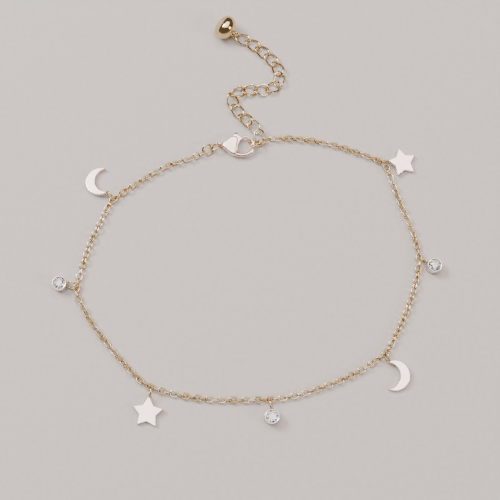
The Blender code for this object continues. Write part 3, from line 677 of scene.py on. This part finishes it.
# Points of a charm's skin this far clear of its plate belong to its ring
charmRing = {"outer": 0.0029, "wire": 0.00040, "steps": 40, "sides": 14, "solder": 0.00030, "clear": 0.0002}
plate = {"thickness": 0.0010, "edge": 0.00012}
star = {"radius": 0.0036, "waist": 0.0020, "tipCut": 0.045, "waistCut": 0.02}
moon = {"radius": 0.00345, "biteRadius": 0.00303, "biteOffset": 0.00176, "hornCut": 0.02}


def roundedCorners(points, cuts, steps=4):
    # Each corner with a cut becomes a small curve from one side to the other
    found = []
    for i, (x, y) in enumerate(points):
        here = Vector((x, y))
        if not cuts[i]:
            found.append((x, y))
            continue
        before = here + (Vector(points[i - 1]) - here).normalized() * cuts[i]
        after = here + (Vector(points[(i + 1) % len(points)]) - here).normalized() * cuts[i]
        for step in range(steps + 1):
            t = step / steps
            found.append(tuple(before * (1 - t) ** 2 + here * 2 * t * (1 - t) + after * t ** 2))
    return found


def starOutline(inset=0.0):
    points = []
    for i in range(10):
        radius, angle = star["waist"] if i % 2 else star["radius"], math.pi + math.pi * i / 5
        points.append((radius * math.cos(angle), radius * math.sin(angle)))
    cuts = [star["waistCut"] if i % 2 else star["tipCut"] for i in range(10)]
    return roundedCorners(drawnIn(points, inset), [star["radius"] * cut for cut in cuts])


def moonOutline(inset=0.0, outerSteps=56, innerSteps=44):
    radius, bite, offset = moon["radius"] - inset, moon["biteRadius"] + inset, moon["biteOffset"]
    meet = (radius ** 2 - bite ** 2 + offset ** 2) / (2 * offset)
    horn, inner = math.acos(meet / radius), math.acos((meet - offset) / bite)
    points = []
    for i in range(outerSteps + 1):
        angle = horn + (2 * math.pi - 2 * horn) * i / outerSteps
        points.append((radius * math.cos(angle), radius * math.sin(angle)))
    for i in range(1, innerSteps):
        angle = -inner - (2 * math.pi - 2 * inner) * i / innerSteps
        points.append((offset + bite * math.cos(angle), bite * math.sin(angle)))
    cuts = [0.0] * len(points)
    cuts[0] = cuts[outerSteps] = moon["radius"] * moon["hornCut"]
    return roundedCorners(points, cuts)


def outlineCentre(outline):
    points = np.array(outline)
    onward = np.roll(points, -1, 0)
    crossed = points[:, 0] * onward[:, 1] - onward[:, 0] * points[:, 1]
    return ((points + onward) * crossed[:, None]).sum(0) / (3 * crossed.sum())


def platePlace(node, outline, kind):
    # Lays the outline on the node's flat top: middle on middle, a star's tip on a tip, a moon's
    # open side towards its horns
    triangles, area, normal = topPlane(node)
    middle = (area[:, None] * triangles.mean(1)).sum(0) / area.sum()
    corners = triangles.reshape(-1, 3)
    far = corners[np.argmax(np.linalg.norm(corners - middle, axis=1))]
    if kind == "moon":
        other = corners[np.argmax(np.linalg.norm(corners - far, axis=1))]
        way = (far + other) / 2 - middle
    else:
        way = middle - far
    place = frameMatrix(middle - normal * plate["thickness"] / 2, way, normal)
    inner = outlineCentre(outline)
    return place @ Matrix.Translation((-inner[0], -inner[1], 0)), middle, normal


def solderBlob(ring, plateMiddle):
    # The small bright fillet where ring and plate meet
    centre = np.array(ring.translation)
    way = plateMiddle - centre
    seat = centre + way / np.linalg.norm(way) * (charmRing["outer"] - charmRing["wire"]) / 2
    blob = turned([(0, -1), *[(math.cos(a), math.sin(a)) for a in np.linspace(-1.3, 1.3, 7)], (0, 1)], 16)
    return placed(blob, Matrix.Translation(Vector(seat)) @ Matrix.Scale(charmRing["solder"], 4))


def charmWire():
    return roundRing(charmRing["outer"], charmRing["wire"], charmRing["steps"], charmRing["sides"])


def makePlateCharm(node, kind):
    outlineAt = starOutline if kind == "star" else moonOutline
    place, middle, normal = platePlace(node, outlineAt(), kind)
    body = placed(plateOf(outlineAt, plate["thickness"], plate["edge"]), place)
    dressed(node.replace("_charm_", "Plate"), body, rosePlate, "anklet", [node])
    points = nodeTriangles(node).reshape(-1, 3)
    height, clear = (points - middle) @ normal, charmRing["clear"]
    ring = ringPlace(points[(height > clear) | (height < -plate["thickness"] - clear)])
    dressed(node.replace("_charm_", "Ring"), placed(charmWire(), ring), ringGold, "anklet")
    blob = solderBlob(ring, middle - normal * plate["thickness"] / 2)
    dressed(node.replace("_charm_", "Solder"), blob, ringGold, "anklet")
    print(node, "plate, ring and solder made")


# Stones in turned cups

# The bore holds the stone's girdle between its rise and its drop; the well below clears the culet
cup = {
    "radius": 0.0017, "height": 0.0026, "bore": 0.00141, "lip": 0.00010, "lipDrop": 0.00003,
    "rise": 0.00018, "drop": 0.00006, "wellSide": 0.00052, "wellFoot": 0.00118, "wellDepth": 0.00122,
}
stone = {
    "radius": 0.00135, "crown": 0.00042, "girdle": 0.00008, "pavilion": 0.00115,
    "table": 0.56, "kite": 0.80, "turn": 0.3,
}


def cupProfile(seat):
    outer, height, bore, lip = cup["radius"], cup["height"], cup["bore"], cup["lip"]
    return [
        (0, 0), (outer * 0.90, 0), (outer * 0.97, height * 0.015), (outer, height * 0.05),
        (outer, height * 0.72), (outer, height * 0.90), (outer * 0.985, height * 0.965),
        (outer * 0.955, height * 0.99), (outer * 0.92, height), (outer * 0.885, height * 0.995),
        (bore - lip * 0.5, height - cup["lipDrop"]), (bore - lip * 0.8, height - lip),
        (bore, seat + cup["rise"]), (bore, seat - cup["drop"]),
        (bore * 0.60, seat - cup["wellSide"]), (bore * 0.14, seat - cup["wellFoot"]),
        (0, seat - cup["wellDepth"]),
    ]


def brilliant():
    # Table, eight kites, star and girdle facets above; sixteen pavilion facets below
    corners, radius = [], stone["radius"]
    top = stone["girdle"] + stone["crown"]

    def row(share, count, shift, height):
        start = len(corners)
        for i in range(count):
            angle = 2 * math.pi * (i + shift) / count
            corners.append((share * radius * math.cos(angle), share * radius * math.sin(angle), height))
        return [start + i for i in range(count)]

    table = row(stone["table"], 8, 0, top)
    kites = row(stone["kite"], 8, 0.5, top * 0.60)
    above = row(1.0, 16, 0, stone["girdle"])
    below = row(1.0, 16, 0, 0)
    mains = row(0.42, 8, 0.5, -stone["pavilion"] * 0.60)
    culet = row(0, 1, 0, -stone["pavilion"])[0]
    faces = [tuple(table)]
    for i in range(8):
        j, a, b, c = (i + 1) % 8, above[2 * i], above[2 * i + 1], above[(2 * i + 2) % 16]
        faces += [(table[i], kites[i], table[j]), (table[i], kites[i - 1], a, kites[i])]
        faces += [(kites[i], a, b), (kites[i], b, c)]
        d, e, f = below[2 * i], below[2 * i + 1], below[(2 * i + 2) % 16]
        faces += [(d, mains[i], e), (e, mains[i], f), (d, mains[i - 1], culet, mains[i])]
    for i in range(16):
        faces.append((above[i], below[i], below[(i + 1) % 16], above[(i + 1) % 16]))
    mesh = meshFrom("stone", corners, faces)
    work = bmesh.new()
    work.from_mesh(mesh)
    bmesh.ops.recalc_face_normals(work, faces=work.faces)
    work.to_mesh(mesh)
    work.free()
    mesh.shade_flat()
    return mesh


def makeSetting(number):
    node, gem = f"stone_setting_{number}", f"stone_{number}"
    low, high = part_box(gem)
    centre = ((low[0] + high[0]) / 2, (low[1] + high[1]) / 2)
    seat = high[2] - stone["crown"] - stone["girdle"]
    body = placed(turned(cupProfile(seat), 64), Matrix.Translation((*centre, 0)))
    dressed(f"bezelCup{number}", body, bezelPolish, "anklet", [node])
    points = nodeTriangles(node).reshape(-1, 3)
    away = np.linalg.norm(points[:, :2] - centre, axis=1)
    ring = ringPlace(points[away > cup["radius"] + charmRing["clear"] / 2])
    dressed(f"bezelRing{number}", placed(charmWire(), ring), ringGold, "anklet")
    turn = Matrix.Rotation(stone["turn"] * number, 4, "Z")
    cut = placed(brilliant(), Matrix.Translation((*centre, seat)) @ turn)
    dressed(f"brilliant{number}", cut, zirconia, "anklet", [gem])
    print("setting", number, "made")


# Lobster clasp, in its own frame: u from the eye to the hook, v across, w up

clasp = {
    "length": 0.0080, "thickness": 0.0022, "turn": -7.5, "pivot": (0.4375, -0.1125), "leverEdge": 0.00012,
    "hookWire": 0.00090, "eyeRadius": 0.00075, "eyeWire": 0.00050, "slot": 0.00092,
    "lever": 0.00072, "gateWire": 0.00056, "knob": 0.00125, "pin": 0.00056, "pinHead": 0.00005,
    "pinEdge": 0.00003, "pinRoom": 0.00009,
}
bodyOutline = [
    (0.0625, -0.0625), (0.15, -0.1312), (0.2625, -0.2125), (0.3875, -0.2775), (0.4812, -0.2812),
    (0.515, -0.2062), (0.4975, -0.075), (0.5, 0.0875), (0.5062, 0.2), (0.4812, 0.2812),
    (0.4, 0.3125), (0.2938, 0.29), (0.2062, 0.2062), (0.125, 0.1188), (0.0625, 0.06),
]
hookLine = [
    (0.3250, -0.1500, 1.30), (0.4125, -0.2000, 1.25), (0.5125, -0.2250, 1.15), (0.6250, -0.2375, 1.05),
    (0.7375, -0.2250, 1.00), (0.8375, -0.1850, 1.00), (0.9250, -0.1150, 1.00), (0.9812, -0.0250, 1.00),
    (1.0000, 0.0625, 0.90), (0.9912, 0.1500, 0.72), (0.9562, 0.2250, 0.64), (0.9200, 0.2675, 0.60),
]
gateLine = [
    (0.5000, 0.1000, 1.0), (0.5400, 0.1875, 1.0), (0.5775, 0.2687, 1.0), (0.6250, 0.3225, 1.0),
    (0.6875, 0.3475, 1.0), (0.7500, 0.3500, 1.0), (0.8125, 0.3325, 0.95), (0.8600, 0.3090, 0.80),
]
leverOutline = [
    (0.3750, -0.1625), (0.4313, -0.1900), (0.4938, -0.1750), (0.5313, -0.1063), (0.5225, 0.0250),
    (0.5500, 0.1500), (0.5975, 0.2688), (0.5975, 0.3188), (0.5313, 0.3438), (0.4688, 0.3875),
    (0.3750, 0.3938), (0.3400, 0.3275), (0.3563, 0.1500), (0.3600, -0.0875),
]
slotOutline = [
    (0.325, -0.2188), (0.50, -0.2188), (0.56, -0.14), (0.60, -0.05), (0.60, 0.425), (0.075, 0.425),
    (0.175, 0.1625),
]
# Shell from its side up to its face: share of the outline, share of half the thickness
shellCrown = [
    (1.0, 0.0), (1.0, 0.42), (0.99, 0.58), (0.965, 0.74), (0.925, 0.87), (0.875, 0.955), (0.82, 0.995),
    (0.79, 1.0), (0.74, 1.0),
]
# Knob from its lower to its upper side: share of its diameter, share of half the lever's thickness
knobForm = [
    (0, -1), (0.30, -0.94), (0.44, -0.72), (0.50, -0.35), (0.50, 0.35), (0.44, 0.72), (0.30, 0.94), (0, 1),
]
knobPlace = (0.415, 0.375)


def onClasp(rows):
    return [(row[0] * clasp["length"], row[1] * clasp["length"]) for row in rows]


def atShare(share):
    # A shift to one place on the clasp
    return Matrix.Translation((*onClasp([share])[0], 0))


def claspPlace():
    joint = next(j for j in frame["joints"] if j["child"] == "lever")
    turn = Matrix.Rotation(math.radians(clasp["turn"]), 4, "Z")
    return Matrix.Translation(Vector(joint["pos_m"])) @ turn @ atShare(clasp["pivot"]).inverted()


def closedSmooth(rows, steps):
    # A smooth closed curve through the rows
    looped = [rows[-1], *rows, rows[0], rows[1]]
    return smoothProfile(looped, steps)[steps:-2 * steps]


def claspWire(rows, diameter, sides):
    points = smoothProfile([(*p, row[2]) for p, row in zip(onClasp(rows), rows)], 5)
    path, radii = roundEnds([p[:2] for p in points], [p[2] * diameter / 2 for p in points])
    return sweepWire(path, radii, sides, False)


def makeClasp():
    place = claspPlace()
    outline = np.array(closedSmooth(onClasp(bodyOutline), 4))
    middle, half = outline.mean(0), clasp["thickness"] / 2
    crown = [(share, -height) for share, height in reversed(shellCrown[1:])] + shellCrown
    shell = stacked([[(*(middle + (p - middle) * share), height * half) for p in outline]
                     for share, height in crown])
    eye = roundRing(2 * clasp["eyeRadius"] + clasp["eyeWire"], clasp["eyeWire"], 32, 14)
    eye.transform(Matrix.Rotation(math.pi / 2, 4, "X"))
    shell = combined(shell, [claspWire(hookLine, clasp["hookWire"], 20), eye], "UNION")
    slot = slab(onClasp(slotOutline), clasp["slot"])
    shell = combined(shell, [slot], "DIFFERENCE")
    radius, half = clasp["pin"] / 2, clasp["thickness"] / 2 + clasp["pinHead"]
    side = half - clasp["pinEdge"]
    pin = turned([(0, -half), (radius * 0.9, -half), (radius, -side), (radius, side),
                  (radius * 0.9, half), (0, half)], 24)
    shell = combined(shell, [placed(pin, atShare(clasp["pivot"]))], "UNION")
    shell.set_sharp_from_angle(angle=math.radians(40))
    dressed("claspShell", placed(shell, place), castPolish, "anklet", ["clasp_body"])

    outline = closedSmooth(onClasp(leverOutline), 3)
    lever = plateOf(lambda inset: drawnIn(outline, inset), clasp["lever"], clasp["leverEdge"], 3)
    half = clasp["lever"] / 2
    knob = placed(turned([(r * clasp["knob"], h * half) for r, h in knobForm], 28), atShare(knobPlace))
    lever = combined(lever, [claspWire(gateLine, clasp["gateWire"], 16), knob], "UNION")
    radius, half = radius + clasp["pinRoom"], clasp["lever"]
    bore = turned([(0, -half), (radius, -half), (radius, half), (0, half)], 24)
    lever = combined(lever, [placed(bore, atShare(clasp["pivot"]))], "DIFFERENCE")
    lever.set_sharp_from_angle(angle=math.radians(40))
    dressed("claspLever", placed(lever, place), castPolish, "lever", ["clasp_lever"])
    print("clasp made")


# End bead: a domed drop with a neck and a loop

# The outermost share of the loop, loopEnd, is clear of the neck and tells where the loop lies
bead = {"radius": 0.0030, "length": 0.0046, "loop": 0.0020, "loopWire": 0.00045, "loopEnd": 0.62}
beadForm = [
    (0.20, 0.0), (0.262, 0.008), (0.283, 0.028), (0.283, 0.055), (0.262, 0.072), (0.258, 0.084),
    (0.30, 0.098), (0.44, 0.118), (0.60, 0.158), (0.80, 0.26), (0.95, 0.42),
    (1.0, 0.58), (0.97, 0.72), (0.86, 0.85), (0.66, 0.935), (0.36, 0.985), (0.12, 0.999),
]


def makeBead():
    points = nodeTriangles("end_bead")
    area, _ = areasOf(points)
    middle = (area[:, None] * points.mean(1)).sum(0) / area.sum()
    corners = points.reshape(-1, 3)
    way = corners[np.argmax(np.linalg.norm(corners - middle, axis=1))] - middle
    for _ in range(4):
        way /= np.linalg.norm(way)
        along = (points.mean(1) - middle) @ way
        loop = along > along.max() - bead["loop"] * bead["loopEnd"]
        centre = (area[loop, None] * points[loop].mean(1)).sum(0) / area[loop].sum()
        way = centre - middle
    way /= np.linalg.norm(way)
    tip = middle + way * ((corners - middle) @ way).max()
    foot = tip - way * (bead["loop"] - bead["loopWire"] / 2)
    profile = [(0, 0), *[tuple(p) for p in smoothProfile(beadForm, 4)], (0, 1.0)]
    body = turned([(r * bead["radius"], h * bead["length"]) for r, h in profile], 72)
    place = frameMatrix(foot, np.cross(way, (0, 0, 1)), -way)
    dressed("endBeadDome", placed(body, place), beadPolish, "anklet", ["end_bead"])
    ring = ringPlace(corners[(corners - tip) @ way > -bead["loop"] * bead["loopEnd"]])
    wire = placed(roundRing(bead["loop"], bead["loopWire"], 36, 14), ring)
    dressed("endBeadLoop", wire, ringGold, "anklet")
    print("bead made")


makeFineChain()
nodeLinks("charmCarrierLinks", charmLinks, charmLink, chainGold, 31)
nodeLinks("extensionFirstLink", extensionNodes[:1], flatLink, linkGold, 53)
nodeLinks("extensionChain", extensionNodes[1:], curbLink, linkGold, 47)
makeRings()
for node in ("star_charm_1", "star_charm_2"):
    makePlateCharm(node, "star")
for node in ("moon_charm_1", "moon_charm_2"):
    makePlateCharm(node, "moon")
for number in (1, 2, 3):
    makeSetting(number)
makeClasp()
makeBead()

# Studio: pale floor, a soft key from the upper left, a broad panel overhead for the plates to
# mirror, and a small warm one from the right

studio = {
    "floor": 6.0, "air": "#8C8784", "airStrength": 0.55,
    "target": (0.00057, -0.00895, 0.0), "elevation": 75, "distance": 0.245, "lens": 75.06,
}
panels = [
    {"name": "keyPanel", "at": (-0.42, 0.24, 0.50), "size": 0.26, "watts": 5.6, "tint": "#FFF8F2"},
    {"name": "overheadPanel", "at": (0.03, 0.18, 0.90), "size": 0.98, "watts": 13.0, "tint": "#FFF4F2"},
    {"name": "sidePanel", "at": (0.50, -0.20, 0.30), "size": 0.16, "watts": 1.6, "tint": "#FFF2E4"},
]


def makeStudio():
    half = studio["floor"] / 2
    corners = [(-half, -half, 0), (half, -half, 0), (half, half, 0), (-half, half, 0)]
    floor = meshFrom("floor", corners, [(0, 1, 2, 3)])
    floor.materials.append(mattPaper)
    asObject("floor", floor)
    target = Vector(studio["target"])
    for panel in panels:
        light = bpy.data.lights.new(panel["name"], "AREA")
        light.energy, light.size, light.color = panel["watts"], panel["size"], linear(panel["tint"])[:3]
        lamp = asObject(panel["name"], light)
        lamp.location = panel["at"]
        lamp.rotation_euler = (target - lamp.location).to_track_quat("-Z", "Y").to_euler()
    world = bpy.data.worlds.new("studioWorld")
    world.use_nodes = True
    air = world.node_tree.nodes["Background"].inputs
    air["Color"].default_value, air["Strength"].default_value = linear(studio["air"]), studio["airStrength"]
    bpy.context.scene.world = world
    camera = bpy.data.cameras.new("photoCamera")
    camera.lens, camera.clip_start = studio["lens"], 0.01
    viewer = asObject("photoCamera", camera)
    angle = math.radians(studio["elevation"])
    viewer.location = target + studio["distance"] * Vector((0, -math.cos(angle), math.sin(angle)))
    viewer.rotation_euler = (math.pi / 2 - angle, 0, 0)
    bpy.context.scene.camera = viewer
    print("studio set")


makeStudio()
